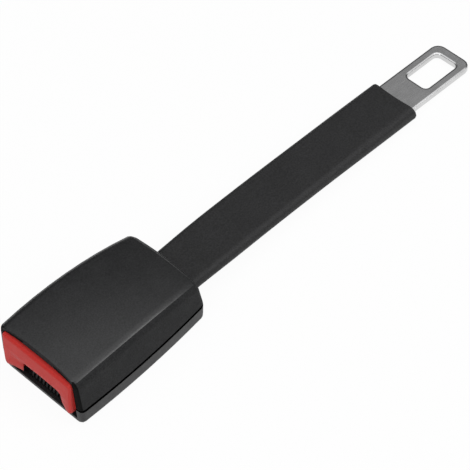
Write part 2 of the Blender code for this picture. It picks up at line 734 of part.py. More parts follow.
def build_latch(material):
    """Latch plate with its nose, lock hump and pivot ears, origin on the pivot axis."""
    bottom = PIVOT_HEIGHT - LATCH_THICKNESS / 2
    top = bottom + LATCH_THICKNESS
    plate_outline = fillet_outline([
        (LATCH_FRONT - LATCH_OVERHANG, -LATCH_HALF_WIDTH, LATCH_FRONT_CORNER),
        (LATCH_REAR, -LATCH_HALF_WIDTH, LATCH_REAR_CORNER),
        (LATCH_REAR, LATCH_HALF_WIDTH, LATCH_REAR_CORNER),
        (LATCH_FRONT - LATCH_OVERHANG, LATCH_HALF_WIDTH, LATCH_FRONT_CORNER),
    ])
    outline = [(x_at(depth), y) for depth, y in plate_outline]
    latch = prism("latch_plate", "Z", outline, bottom, top)
    nose_outline = fillet_outline([
        (x_at(LATCH_FRONT), NOSE_FOOT, NOSE_FRONT_RADIUS),
        (x_at(LATCH_FRONT + NOSE_LENGTH), NOSE_FOOT, NOSE_REAR_RADIUS),
        (x_at(LATCH_FRONT + NOSE_LENGTH), top - LATCH_THICKNESS / 4, 0),
        (x_at(LATCH_FRONT), top - LATCH_THICKNESS / 4, 0),
    ], steps=2)
    nose = prism("nose", "Y", nose_outline, -NOSE_HALF_WIDTH, NOSE_HALF_WIDTH)
    hump_outline = fillet_outline([
        (x_at(HUMP_FRONT), bottom + LATCH_THICKNESS / 4, 0),
        (x_at(HUMP_FRONT + HUMP_LENGTH), bottom + LATCH_THICKNESS / 4, 0),
        (x_at(HUMP_FRONT + HUMP_LENGTH), top + HUMP_HEIGHT, HUMP_REAR_RADIUS),
        (x_at(HUMP_FRONT), top + HUMP_HEIGHT, HUMP_FRONT_RADIUS),
    ], steps=2)
    hump = prism("hump", "Y", hump_outline, -HUMP_HALF_WIDTH, HUMP_HALF_WIDTH)
    ear_reach = FRAME_HALF_WIDTH - TOUCH_GAP
    ears = rod("ears", "Y", (x_at(PIVOT_DEPTH), PIVOT_HEIGHT), PIVOT_RADIUS, -ear_reach, ear_reach)
    combine(latch, [nose, hump, ears], "UNION")
    pivot = Vector((x_at(PIVOT_DEPTH), 0.0, PIVOT_HEIGHT))
    latch.data.transform(Matrix.Translation(-pivot))
    latch.data.transform(Matrix.Rotation(LATCH_RAISE, 4, "Y"))
    latch.location = pivot
    return finish(latch, material)


def build_lock_bar(material):
    """Steel bar carried across the frame by the button's arms."""
    reach = FRAME_HALF_WIDTH + SLIDE_GAP + ARM_THICKNESS
    front = x_at(LOCK_BAR_FRONT)
    rear = front + LOCK_BAR_DEPTH
    top = LOCK_BAR_BOTTOM + LOCK_BAR_HEIGHT
    outline = fillet_outline([
        (front, LOCK_BAR_BOTTOM, LOCK_BAR_EDGE_RADIUS),
        (rear, LOCK_BAR_BOTTOM, LOCK_BAR_EDGE_RADIUS),
        (rear, top, LOCK_BAR_EDGE_RADIUS),
        (front, top, LOCK_BAR_EDGE_RADIUS),
    ], steps=2)
    bar = prism("lock_bar", "Y", outline, -reach, reach)
    return finish(bar, material)


# Plastic parts in the buckle

def button_lean(z):
    """How far the bulging button face stands forward of its head at a height."""
    head = MOUTH_TOP - SLIDE_GAP
    share = (head - z) / (head - BUTTON_FACE_FOOT)
    return BUTTON_FACE_LEAN * share * (2 - share)


def arch_ring(x, foot, knee, head, top, radius):
    """Arch outline in the leaning face: flared below its knees, rounded at its shoulders."""
    outline = fillet_outline([
        (-foot, MOUTH_SILL - WALL, 0),
        (foot, MOUTH_SILL - WALL, 0),
        (knee, ARCH_KNEE_HEIGHT, ARCH_KNEE_RADIUS),
        (head, top - ARCH_SHOULDER_DROP, radius),
        (0.0, top, ARCH_CROWN_RADIUS),
        (-head, top - ARCH_SHOULDER_DROP, radius),
        (-knee, ARCH_KNEE_HEIGHT, ARCH_KNEE_RADIUS),
    ])
    return [Vector((x - button_lean(z), y, z)) for y, z in outline]


def build_button(material):
    """Press button: arched face, hollow body behind it, and two arms."""
    face_front = x_at(-BUTTON_PROUD)
    face_rear = face_front + BUTTON_FACE_THICKNESS
    half = MOUTH_HALF_WIDTH - SLIDE_GAP
    foot = BUTTON_FACE_FOOT
    head = MOUTH_TOP - SLIDE_GAP
    foot_half = half - BUTTON_FOOT_DRAFT
    face_outline = fillet_outline([
        (-foot_half, foot, BUTTON_FOOT_CORNER),
        (foot_half, foot, BUTTON_FOOT_CORNER),
        (half, head, BUTTON_TOP_CORNER),
        (-half, head, BUTTON_TOP_CORNER),
    ], steps=3)
    button = prism("press_button", "X", face_outline, face_front, face_rear)
    round_front_edge(button, face_front, BUTTON_EDGE_RADIUS)
    lean_face(button, foot, head)
    body_front = x_at(BEZEL_DEPTH + SLIDE_GAP)
    body_rear = x_at(BUTTON_BODY_REAR)
    roof = min(HOUSING_HEIGHT_MOUTH, HOUSING_HEIGHT_MIDDLE) - WALL - SLIDE_GAP
    shells = []
    for start, shell_half, floor in (
            (body_front, BUTTON_BODY_HALF_WIDTH, BUTTON_BODY_FLOOR),
            (face_front + BUTTON_EDGE_RADIUS, half, foot + BUTTON_FOOT_CORNER)):
        shell_outline = fillet_outline([
            (-shell_half, floor, 0),
            (shell_half, floor, 0),
            (shell_half, roof, BUTTON_SHOULDER_RADIUS),
            (-shell_half, roof, BUTTON_SHOULDER_RADIUS),
        ])
        shells.append(prism("button_shell", "X", shell_outline, start, body_rear))
    combine(button, shells, "UNION")
    hollow_half = half - BUTTON_WALL
    hollow = block(
        "button_hollow",
        (face_rear, body_rear + BUTTON_WALL),
        (-hollow_half, hollow_half),
        (-WALL, roof - BUTTON_WALL),
    )
    outer_arch = (ARCH_OUTER_FOOT, ARCH_OUTER_KNEE, ARCH_OUTER_HEAD, ARCH_OUTER_TOP, ARCH_OUTER_RADIUS)
    inner_arch = (ARCH_INNER_FOOT, ARCH_INNER_KNEE, ARCH_INNER_HEAD, ARCH_INNER_TOP, ARCH_INNER_RADIUS)
    funnel = loft("funnel", [
        arch_ring(face_front - BUTTON_FACE_THICKNESS, *outer_arch),
        arch_ring(face_front, *outer_arch),
        arch_ring(face_rear, *inner_arch),
        arch_ring(face_rear + 2 * BUTTON_FACE_THICKNESS, *inner_arch),
    ])
    combine(button, [hollow, funnel], "DIFFERENCE")
    arms = []
    inner = FRAME_HALF_WIDTH + SLIDE_GAP
    for side in (-1, 1):
        near = side * inner
        far = near + side * ARM_THICKNESS
        bridge_far = side * (half - BUTTON_WALL / 2)
        arm_outline = fillet_outline([
            (body_rear - BUTTON_WALL, ARM_BOTTOM, 0),
            (x_at(ARM_REAR), ARM_BOTTOM, ARM_CORNER_RADIUS),
            (x_at(ARM_REAR), ARM_TOP, ARM_CORNER_RADIUS),
            (body_rear - BUTTON_WALL, ARM_TOP, 0),
        ], steps=2)
        arms.append(prism("arm", "Y", arm_outline, min(near, far), max(near, far)))
        root = block(
            "arm_root",
            (body_rear - 2 * BUTTON_WALL, body_rear),
            (min(near, bridge_far), max(near, bridge_far)),
            (ARM_BOTTOM, ARM_TOP),
        )
        arms.append(root)
    combine(button, arms, "UNION")
    bar_hole = block(
        "bar_hole",
        (x_at(LOCK_BAR_FRONT) - TOUCH_GAP, x_at(LOCK_BAR_FRONT + LOCK_BAR_DEPTH) + TOUCH_GAP),
        (-2 * half, 2 * half),
        (LOCK_BAR_BOTTOM - TOUCH_GAP, LOCK_BAR_BOTTOM + LOCK_BAR_HEIGHT + TOUCH_GAP),
    )
    combine(button, [bar_hole], "DIFFERENCE")
    return finish(button, material)


def round_front_edge(thing, plane_x, radius):
    """Round the rim of the face that lies in the plane at this x."""
    bm = bmesh.new()
    bm.from_mesh(thing.data)
    near = [v for v in bm.verts if abs(v.co.x - plane_x) < TOUCH_GAP / 10]
    edges = [e for e in bm.edges if e.verts[0] in near and e.verts[1] in near]
    bmesh.ops.bevel(bm, geom=edges, offset=radius, segments=3, profile=0.5, affect="EDGES")
    bm.to_mesh(thing.data)
    bm.free()


def lean_face(thing, foot, head):
    """Cut the face into level strips and draw them forward along its bulge."""
    bm = bmesh.new()
    bm.from_mesh(thing.data)
    for strip in range(1, BUTTON_FACE_STRIPS):
        height = foot + (head - foot) * strip / BUTTON_FACE_STRIPS
        everything = [*bm.verts, *bm.edges, *bm.faces]
        bmesh.ops.bisect_plane(
            bm, geom=everything, plane_co=(0.0, 0.0, height), plane_no=(0.0, 0.0, 1.0))
    for vert in bm.verts:
        vert.co.x -= button_lean(vert.co.z)
    bm.to_mesh(thing.data)
    bm.free()


def build_ejector(material):
    """Slider in the tongue's path, with a ramp for the latch's nose and a spring slot."""
    front = x_at(EJECTOR_FRONT)
    rear = front + EJECTOR_LENGTH
    bottom = PATH_FLOOR + SLIDE_GAP
    top = bottom + EJECTOR_HEIGHT
    outline = fillet_outline([
        (front, -EJECTOR_HALF_WIDTH, EJECTOR_FRONT_CORNER),
        (rear, -EJECTOR_HALF_WIDTH, EJECTOR_REAR_CORNER),
        (rear, EJECTOR_HALF_WIDTH, EJECTOR_REAR_CORNER),
        (front, EJECTOR_HALF_WIDTH, EJECTOR_FRONT_CORNER),
    ], steps=2)
    ejector = prism("ejector", "Z", outline, bottom, top)
    ramp_outline = [
        (front - EJECTOR_RAMP_LENGTH, top - 2 * EJECTOR_RAMP_DROP),
        (front + EJECTOR_RAMP_LENGTH, top),
        (front + EJECTOR_RAMP_LENGTH, top + EJECTOR_HEIGHT),
        (front - EJECTOR_RAMP_LENGTH, top + EJECTOR_HEIGHT),
    ]
    ramp_half = NOSE_HALF_WIDTH + NOSE_SLOT_MARGIN / 2
    ramp = prism("ramp", "Y", ramp_outline, -ramp_half, ramp_half)
    slot = block(
        "spring_slot",
        (front + EJECTOR_SLOT_START, rear + EJECTOR_HEIGHT),
        (-EJECTOR_SLOT_HALF_WIDTH, EJECTOR_SLOT_HALF_WIDTH),
        (bottom - EJECTOR_HEIGHT, top + EJECTOR_HEIGHT),
    )
    combine(ejector, [ramp, slot], "DIFFERENCE")
    return finish(ejector, material)


def build_carrier(material):
    """Bridge on the frame's walls that backs all three coil springs and clamps the leaf."""
    front = x_at(CARRIER_FRONT)
    rear = front + CARRIER_DEPTH
    seat = FRAME_WALL_TOP + TOUCH_GAP
    half = CARRIER_HALF_WIDTH
    cheek = half - CARRIER_CHEEK_WIDTH
    top = seat + CARRIER_THICKNESS
    leg = CARRIER_LEG_HALF_WIDTH
    foot = PATH_FLOOR + TOUCH_GAP
    bottom = seat - CARRIER_SKIRT
    rim = FRAME_HALF_WIDTH + TOUCH_GAP
    outline = fillet_outline([
        (-rim, bottom, 0),
        (-rim, seat, 0),
        (rim, seat, 0),
        (rim, bottom, 0),
        (half, bottom, CARRIER_EDGE_RADIUS),
        (half, CARRIER_CHEEK_TOP, CARRIER_CHEEK_RADIUS),
        (cheek, CARRIER_CHEEK_TOP, CARRIER_EDGE_RADIUS),
        (cheek, top, 0),
        (-cheek, top, 0),
        (-cheek, CARRIER_CHEEK_TOP, CARRIER_EDGE_RADIUS),
        (-half, CARRIER_CHEEK_TOP, CARRIER_CHEEK_RADIUS),
        (-half, bottom, CARRIER_EDGE_RADIUS),
    ], steps=2)
    carrier = prism("spring_carrier", "X", outline, front, rear)
    post = block(
        "carrier_leg",
        (front, front + CARRIER_LEG_DEPTH),
        (-leg, leg),
        (foot, seat + CARRIER_THICKNESS / 2),
    )
    combine(carrier, [post], "UNION")
    leaf_seat = block(
        "leaf_seat",
        (front - CARRIER_DEPTH, front + CARRIER_LEG_DEPTH / 2 + TOUCH_GAP),
        (-LEAF_HALF_WIDTH - TOUCH_GAP, LEAF_HALF_WIDTH + TOUCH_GAP),
        (seat, seat + LEAF_THICKNESS + 2 * TOUCH_GAP),
    )
    combine(carrier, [leaf_seat], "DIFFERENCE")
    return finish(carrier, material)


def latch_top_height(depth):
    """Top of the raised latch plate at a depth."""
    lift = math.tan(LATCH_RAISE)
    start = PIVOT_HEIGHT + LATCH_THICKNESS / 2 / math.cos(LATCH_RAISE)
    return start + (PIVOT_DEPTH - depth) * lift


def build_latch_spring(material):
    """Leaf from the carrier whose bent tip bears on the latch plate."""
    root = x_at(CARRIER_FRONT + CARRIER_LEG_DEPTH / 2)
    seat = FRAME_WALL_TOP + 2 * TOUCH_GAP
    tip = x_at(LEAF_TIP)
    knee = x_at((LEAF_TIP + CARRIER_FRONT) / 2)
    touch = latch_top_height(LEAF_TIP) + TOUCH_GAP
    outline = [
        (root, seat),
        (root, seat + LEAF_THICKNESS),
        (knee, seat + LEAF_THICKNESS),
        (tip, touch + LEAF_THICKNESS),
        (tip - LEAF_LIP_LENGTH, touch + 3 * LEAF_THICKNESS),
        (tip - LEAF_LIP_LENGTH, touch + 2 * LEAF_THICKNESS),
        (tip, touch),
        (knee, seat),
    ]
    leaf = prism("latch_spring", "Y", outline, -LEAF_HALF_WIDTH, LEAF_HALF_WIDTH)
    return finish(leaf, material)


def build_springs(material):
    """Ejector spring and the button's two springs."""
    slot_end = x_at(EJECTOR_FRONT + EJECTOR_SLOT_START) + TOUCH_GAP
    carrier_face = x_at(CARRIER_FRONT) - TOUCH_GAP
    centre = PATH_FLOOR + SLIDE_GAP + EJECTOR_HEIGHT / 2
    coil("ejector_spring", material, (slot_end, 0.0, centre), carrier_face - slot_end,
         EJECTOR_SPRING_RADIUS, EJECTOR_SPRING_WIRE, EJECTOR_SPRING_TURNS)
    start = x_at(ARM_REAR) + TOUCH_GAP
    arm_middle = FRAME_HALF_WIDTH + SLIDE_GAP + ARM_THICKNESS / 2
    height = (ARM_BOTTOM + ARM_TOP) / 2
    for side, name in ((1, "button_spring_left"), (-1, "button_spring_right")):
        coil(name, material, (start, side * arm_middle, height), carrier_face - start,
             BUTTON_SPRING_RADIUS, BUTTON_SPRING_WIRE, BUTTON_SPRING_TURNS)


# Strap and tongue

def tongue_centre_height(depth):
    """Middle height of the tongue's plate, which slopes down to its tip on the table."""
    tip_middle = TONGUE_THICKNESS / 2 * math.cos(TONGUE_PITCH)
    return tip_middle + (TONGUE_TIP_DEPTH - depth) * math.tan(TONGUE_PITCH)


def strap_height(depth):
    """Middle height of the strap: level out of the buckle, then down to the tongue's line."""
    start = HOUSING_LENGTH
    end = STRAP_END - TONGUE_HEAD_LENGTH
    if depth <= start:
        return STRAP_HEIGHT_AT_BUCKLE
    if depth >= end:
        return tongue_centre_height(depth)
    run = end - start
    t = (depth - start) / run
    from_buckle = (2 * t ** 3 - 3 * t ** 2 + 1) * STRAP_HEIGHT_AT_BUCKLE
    buckle_slope = (t ** 3 - 2 * t ** 2 + t) * run * STRAP_SLOPE_AT_BUCKLE
    to_tongue = (3 * t ** 2 - 2 * t ** 3) * tongue_centre_height(end)
    tongue_slope = (t ** 3 - t ** 2) * run * -math.tan(TONGUE_PITCH)
    return from_buckle + buckle_slope + to_tongue + tongue_slope


def smooth_step(value):
    """Ease from 0 to 1."""
    value = min(max(value, 0.0), 1.0)
    return value * value * (3 - 2 * value)


def sheath_ring(depth, half_width, half_thickness, scoop):
    """Flat section with full round sides; its end is cut back in the middle by scoop."""
    middle = strap_height(depth)
    points = []
    flat = half_width - half_thickness
    steps = 6
    for side in (1, -1):
        for step in range(steps + 1):
            angle = math.pi / 2 - math.pi * step / steps
            y = side * (flat + half_thickness * math.cos(angle))
            z = middle + side * half_thickness * math.sin(angle)
            points.append((y, z))
        if side == 1:
            points += [(flat * share, middle - half_thickness) for share in (0.5, 0.0, -0.5)]
        else:
            points += [(flat * share, middle + half_thickness) for share in (-0.5, 0.0, 0.5)]
    return [Vector((x_at(depth) - scoop * (1 - (y / half_width) ** 2), y, z)) for y, z in points]


def build_sheath(material):
    """Sleeve over the webbing, from inside the housing to the tongue."""
    start = HOUSING_LENGTH - SHEATH_INSIDE_HOUSING
    end = STRAP_END
    count = 18
    outer = []
    inner = []
    for index in range(count + 1):
        share = index / count
        depth = start + (end - start) * share
        swell = smooth_step(1 - (end - SHEATH_FULL_LENGTH - depth) / SHEATH_SWELL_LENGTH)
        half_thickness = SHEATH_HALF_THICKNESS
        half_thickness += (SHEATH_END_HALF_THICKNESS - SHEATH_HALF_THICKNESS) * swell
        scoop = SHEATH_END_SCOOP if index == count else 0.0
        widening = smooth_step((depth - HOUSING_LENGTH) / SHEATH_WIDENING_LENGTH)
        half_width = SHEATH_HALF_WIDTH_AT_BUCKLE
        half_width += (SHEATH_HALF_WIDTH - SHEATH_HALF_WIDTH_AT_BUCKLE) * widening
        outer.append(sheath_ring(depth, half_width, half_thickness, scoop))
        inner.append(sheath_ring(depth, half_width - SHEATH_WALL, half_thickness - SHEATH_WALL, scoop))
    sheath = sleeve("strap_sheath", outer, inner)
    return finish(sheath, material, math.radians(50))


def wrapped_edges():
    """Depths of the slot edges that the webbing wraps: the frame's and the tongue's."""
    frame_edge = FRAME_TAIL_END - FRAME_TAIL_BAR
    tongue_edge = STRAP_END - TONGUE_HEAD_LENGTH + TONGUE_HEAD_BAR
    return frame_edge, tongue_edge


def build_webbing(material):
    """One closed loop of webbing round the frame's bar and the tongue's bar."""
    frame_edge, tongue_edge = wrapped_edges()
    wrap_frame = FRAME_THICKNESS / 2 + TOUCH_GAP
    wrap_tongue = TONGUE_THICKNESS / 2 + TOUCH_GAP
    merge = PLY_MERGE_LENGTH
    count = 40

    def half_gap(depth):
        from_frame = smooth_step((depth - frame_edge - FRAME_TAIL_BAR) / merge)
        from_tongue = smooth_step((tongue_edge - TONGUE_HEAD_BAR - depth) / merge)
        near_frame = wrap_frame + (PLY_HALF_GAP - wrap_frame) * from_frame
        near_tongue = wrap_tongue + (PLY_HALF_GAP - wrap_tongue) * from_tongue
        return near_frame if depth < (frame_edge + tongue_edge) / 2 else near_tongue

    def side_points(offset, sign):
        points = []
        for index in range(count + 1):
            depth = frame_edge + (tongue_edge - frame_edge) * index / count
            gap = half_gap(depth) + offset
            points.append((x_at(depth), strap_height(depth) + sign * gap))
        return points

    def band(offset):
        upper = side_points(offset, 1)
        lower = side_points(offset, -1)
        tongue_arc = end_arc(tongue_edge, wrap_tongue + offset, 1)
        frame_arc = end_arc(frame_edge, wrap_frame + offset, -1)
        return upper + tongue_arc + list(reversed(lower)) + frame_arc

    def end_arc(depth, radius, sign):
        points = []
        steps = 6
        for step in range(1, steps):
            angle = math.pi * step / steps
            x = x_at(depth) + sign * radius * math.sin(angle)
            z = strap_height(depth) + sign * radius * math.cos(angle)
            points.append((x, z))
        return points

    outer = band(WEBBING_THICKNESS)
    inner = band(0.0)
    half = WEBBING_WIDTH / 2
    bm = bmesh.new()
    rings = []
    for points, y in ((outer, -half), (outer, half), (inner, half), (inner, -half)):
        rings.append(ring_of(bm, [Vector((x, y, z)) for x, z in points]))
    for index, ring in enumerate(rings):
        bridge(bm, ring, rings[(index + 1) % len(rings)])
    webbing = make_object("webbing_loop", bm)
    return finish(webbing, material)


def build_stitching(material):
    """Zigzag thread that sews the webbing's ends together, under the sheath."""
    frame_edge, tongue_edge = wrapped_edges()
    middle = (frame_edge + tongue_edge) / 2
    half_row = WEBBING_WIDTH / 2 - STITCH_EDGE_MARGIN
    lift = PLY_HALF_GAP + WEBBING_THICKNESS + TOUCH_GAP + STITCH_RADIUS
    points = []
    for index in range(STITCH_COUNT + 1):
        depth = middle + (index / STITCH_COUNT - 0.5) * STITCH_SEAM_LENGTH
        y = half_row if index % 2 else -half_row
        points.append((x_at(depth), y, strap_height(depth) + lift))
    return wire_along("webbing_stitching", material, points, STITCH_RADIUS)


def build_tongue(material):
    """Chromed plate: windowed blade that plugs in, and a hidden head with the webbing bar."""
    tip = 0.0
    blade_start = -TONGUE_SHOWN_LENGTH - TONGUE_HEAD_TAPER
    head_rear = -TONGUE_SHOWN_LENGTH - TONGUE_HEAD_LENGTH
    hollow_half = SHEATH_END_HALF_THICKNESS - SHEATH_WALL
    round_reach = math.sqrt(hollow_half ** 2 - (TONGUE_THICKNESS / 2 + TOUCH_GAP) ** 2)
    head_half = SHEATH_HALF_WIDTH - SHEATH_WALL - hollow_half + round_reach
    blade_half = TONGUE_HALF_WIDTH
    outline = fillet_outline([
        (head_rear, -head_half, TONGUE_HEAD_RADIUS),
        (blade_start - TONGUE_HEAD_TAPER, -head_half, TONGUE_SHOULDER_RADIUS),
        (blade_start, -blade_half, TONGUE_SHOULDER_RADIUS),
        (tip, -blade_half, TONGUE_TIP_RADIUS),
        (tip, blade_half, TONGUE_TIP_RADIUS),
        (blade_start, blade_half, TONGUE_SHOULDER_RADIUS),
        (blade_start - TONGUE_HEAD_TAPER, head_half, TONGUE_SHOULDER_RADIUS),
        (head_rear, head_half, TONGUE_HEAD_RADIUS),
    ])
    tongue = prism("tongue", "Z", outline, -TONGUE_THICKNESS / 2, TONGUE_THICKNESS / 2)
    window_tip = tip - TONGUE_TIP_BAR
    window_rear = window_tip - TONGUE_WINDOW_LENGTH
    window_half = TONGUE_WINDOW_HALF_WIDTH
    window_outline = fillet_outline([
        (window_rear, -window_half, TONGUE_WINDOW_RADIUS),
        (window_tip, -window_half, TONGUE_WINDOW_RADIUS),
        (window_tip, window_half, TONGUE_WINDOW_RADIUS),
        (window_rear, window_half, TONGUE_WINDOW_RADIUS),
    ])
    slot_front = head_rear + TONGUE_HEAD_BAR
    slot_rear = slot_front + TONGUE_HEAD_SLOT_LENGTH
    slot_half = head_half - TONGUE_HEAD_SIDE
    slot_outline = fillet_outline([
        (slot_front, -slot_half, TONGUE_HEAD_SLOT_RADIUS),
        (slot_rear, -slot_half, TONGUE_HEAD_SLOT_RADIUS),
        (slot_rear, slot_half, TONGUE_HEAD_SLOT_RADIUS),
        (slot_front, slot_half, TONGUE_HEAD_SLOT_RADIUS),
    ], steps=2)
    cutters = [
        prism("window_cutter", "Z", window_outline, -TONGUE_THICKNESS, TONGUE_THICKNESS),
        prism("slot_cutter", "Z", slot_outline, -TONGUE_THICKNESS, TONGUE_THICKNESS),
    ]
    combine(tongue, cutters, "DIFFERENCE")
    bevel_edges(tongue, TONGUE_EDGE_CHAMFER, 2)
    rotation = Matrix.Rotation(TONGUE_PITCH, 4, "Y")
    place = Vector((x_at(TONGUE_TIP_DEPTH), 0.0, tongue_centre_height(TONGUE_TIP_DEPTH)))
    tongue.data.transform(Matrix.Translation(place) @ rotation)
    return finish(tongue, material)


def main():
    """Build every piece of the extender."""
    for thing in list(bpy.data.objects):
        bpy.data.objects.remove(thing)
    cover_plastic = make_material("black_cover_plastic", (0.022, 0.022, 0.024), 0.45)
    tray_plastic = make_material("black_tray_plastic", (0.022, 0.022, 0.024), 0.5)
    red_plastic = make_material("red_button_plastic", (0.55, 0.03, 0.03), 0.4)
    inner_plastic = make_material("grey_inner_plastic", (0.25, 0.25, 0.26), 0.5)
    frame_steel = make_material("zinc_plated_steel", (0.55, 0.54, 0.5), 0.4, 1.0)
    latch_steel = make_material("hardened_steel", (0.3, 0.3, 0.31), 0.35, 1.0)
    spring_steel = make_material("spring_steel", (0.4, 0.4, 0.42), 0.3, 1.0)
    webbing_fabric = make_material("black_webbing", (0.02, 0.02, 0.021), 0.9)
    thread = make_material("black_thread", (0.03, 0.03, 0.03), 0.85)
    sheath_plastic = make_material("black_sheath", (0.02, 0.02, 0.021), 0.6)
    tongue_chrome = make_material("tongue_chrome", (0.6, 0.6, 0.6), 0.2, 1.0)

    build_upper_cover(cover_plastic)
    build_lower_cover(tray_plastic)
    build_button(red_plastic)
    build_frame(frame_steel)
    build_guide_plate(frame_steel)
    build_latch(latch_steel)
    build_lock_bar(latch_steel)
    build_ejector(inner_plastic)
    build_carrier(inner_plastic)
    build_latch_spring(spring_steel)
    build_springs(spring_steel)
    build_webbing(webbing_fabric)
    build_stitching(thread)
    build_sheath(sheath_plastic)
    build_tongue(tongue_chrome)


main()
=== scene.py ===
"""Looks of a seat belt extender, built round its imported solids.

The extender lies on a pale studio floor: a moulded buckle with a red press button at one end,
a black sleeved strap, and a windowed steel tongue at the other end.
Lengths are in metres.  +X runs from the buckle's mouth to the tongue's tip and +Z is up.
"""

import json
import logging
import math
from abc import ABC, abstractmethod
from dataclasses import dataclass
from enum import Enum, IntEnum

import bmesh
import bpy
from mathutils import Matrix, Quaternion, Vector

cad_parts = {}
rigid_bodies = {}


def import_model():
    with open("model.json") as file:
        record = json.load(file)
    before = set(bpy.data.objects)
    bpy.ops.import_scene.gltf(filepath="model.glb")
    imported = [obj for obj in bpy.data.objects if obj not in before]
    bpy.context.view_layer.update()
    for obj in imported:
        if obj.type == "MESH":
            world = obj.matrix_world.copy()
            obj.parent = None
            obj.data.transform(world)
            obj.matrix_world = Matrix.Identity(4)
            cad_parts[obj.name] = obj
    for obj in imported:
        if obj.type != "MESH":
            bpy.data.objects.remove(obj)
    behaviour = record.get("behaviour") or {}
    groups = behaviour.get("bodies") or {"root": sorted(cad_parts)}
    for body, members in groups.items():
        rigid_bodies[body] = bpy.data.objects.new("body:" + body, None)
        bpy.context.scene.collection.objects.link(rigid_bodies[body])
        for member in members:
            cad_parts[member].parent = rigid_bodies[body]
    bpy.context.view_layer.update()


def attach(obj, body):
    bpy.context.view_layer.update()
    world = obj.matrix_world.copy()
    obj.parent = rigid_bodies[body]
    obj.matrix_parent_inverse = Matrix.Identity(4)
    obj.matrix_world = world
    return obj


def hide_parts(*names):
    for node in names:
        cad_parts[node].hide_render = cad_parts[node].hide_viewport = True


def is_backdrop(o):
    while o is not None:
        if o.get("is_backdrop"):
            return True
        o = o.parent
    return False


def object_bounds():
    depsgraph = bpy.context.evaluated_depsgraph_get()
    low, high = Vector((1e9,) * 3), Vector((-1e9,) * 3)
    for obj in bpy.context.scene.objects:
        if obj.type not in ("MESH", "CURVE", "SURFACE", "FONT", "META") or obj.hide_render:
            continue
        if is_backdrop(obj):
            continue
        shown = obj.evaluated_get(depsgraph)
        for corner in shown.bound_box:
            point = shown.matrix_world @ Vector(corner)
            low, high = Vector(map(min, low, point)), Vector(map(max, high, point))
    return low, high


LOG = logging.getLogger("extender")
MM = 0.001

PARTING_HEIGHT = 9.5 * MM
# Painted shade in the parting gap: a band this close round the parting height is painted near
# black, matt and without gloss.
GROOVE_SHADE_CORE = 0.75 * MM
GROOVE_SHADE_EDGE = 0.9 * MM
GROOVE_PAINTED_SHADE = (0.001, 0.001, 0.001)

PATTERN_DARK = 0.3
PATTERN_BRIGHT = 0.7
GRAIN_DETAIL = 1.0
CLOUD_DETAIL = 3.0
PATCH_DETAIL = 4.0
DETAIL_SHARE = 0.55

# Yarns per metre at a wave texture's scale of 1, with two warp or four weft yarns to a wave.
WARP_YARNS = 6.3
WEFT_YARNS = 12.6

WELD_DISTANCE = 0.002 * MM
FLAT_TURN = math.radians(0.15)
CREASE_TURN = math.radians(40)

Triple = tuple[float, float, float]
Colour = Triple
Socket = bpy.types.NodeSocket


class Body(Enum):
    """Rigid bodies that a finished piece can move with."""

    HOUSING = "housing"
    BUTTON = "button"


class Slot(Enum):
    """Names of the record's material slots; no piece here is given one."""

    COVER = "black_cover_plastic"
    TRAY = "black_tray_plastic"
    BUTTON = "red_button_plastic"
    SHEATH = "black_sheath"
    TONGUE = "tongue_chrome"


class CoverFace(IntEnum):
    """Kinds of face on the cover, as the places of their finishes among its materials."""

    TOP = 0
    WALL = 1
    # Painted shade: front faces round the button, given a darker copy of the cover's plastic.
    BEZEL = 2


class Mix(Enum):
    """Kinds of value that a Mix node blends: data type, both input sockets and the output."""

    NUMBER = ("FLOAT", 2, 3, 0)
    COLOUR = ("RGBA", 6, 7, 2)


# Shader nodes


class Wiring:
    """Adds and joins the nodes of one shader tree."""

    def __init__(self, tree: bpy.types.NodeTree) -> None:
        """Start on a tree.

        Args:
            tree: The tree that the nodes go into.
        """
        self.tree = tree

    def add(self, kind: str, settings: dict | None = None, **values: object) -> bpy.types.Node:
        """Add a node.

        Args:
            kind: The node's type.
            settings: Its properties by name.
            **values: Its input values, by socket name with _ for a space.

        Returns:
            The new node.
        """
        node = self.tree.nodes.new(kind)
        for key, value in (settings or {}).items():
            setattr(node, key, value)
        for key, value in values.items():
            node.inputs[key.replace("_", " ")].default_value = value
        return node

    def join(self, source: Socket, target: Socket) -> None:
        """Link two sockets."""
        self.tree.links.new(source, target)

    def feed(self, value: Socket | Colour | float, target: Socket) -> None:
        """Give a socket its value.

        Args:
            value: A socket to link, or a plain colour or number.
            target: The socket that takes it.
        """
        if isinstance(value, Socket):
            self.join(value, target)
        elif isinstance(value, tuple):
            target.default_value = (*value, 1.0)
        else:
            target.default_value = value

    def mix(
        self,
        kind: Mix,
        share: Socket | float,
        first: Socket | Colour | float,
        second: Socket | Colour | float,
        mode: str = "MIX",
    ) -> Socket:
        """Blend two numbers or two colours.

        Args:
            kind: What is blended.
            share: 0 for the first value to 1 for the blend with the second.
            first: First value.
            second: Second value.
            mode: How the second value acts on the first.

        Returns:
            The blended value.
        """
        data_type, first_input, second_input, output = kind.value
        node = self.add("ShaderNodeMix", {"data_type": data_type, "blend_type": mode})
        for value, index in ((share, 0), (first, first_input), (second, second_input)):
            self.feed(value, node.inputs[index])
        return node.outputs[output]

    def calculate(self, operation: str, first: Socket, second: Socket | float = 0.0) -> Socket:
        """Calculate with one or two numbers.

        Args:
            operation: The Math node's operation.
            first: First number.
            second: Second number, which some operations leave unread.

        Returns:
            The result.
        """
        node = self.add("ShaderNodeMath", {"operation": operation})
        self.join(first, node.inputs[0])
        self.feed(second, node.inputs[1])
        return node.outputs["Value"]


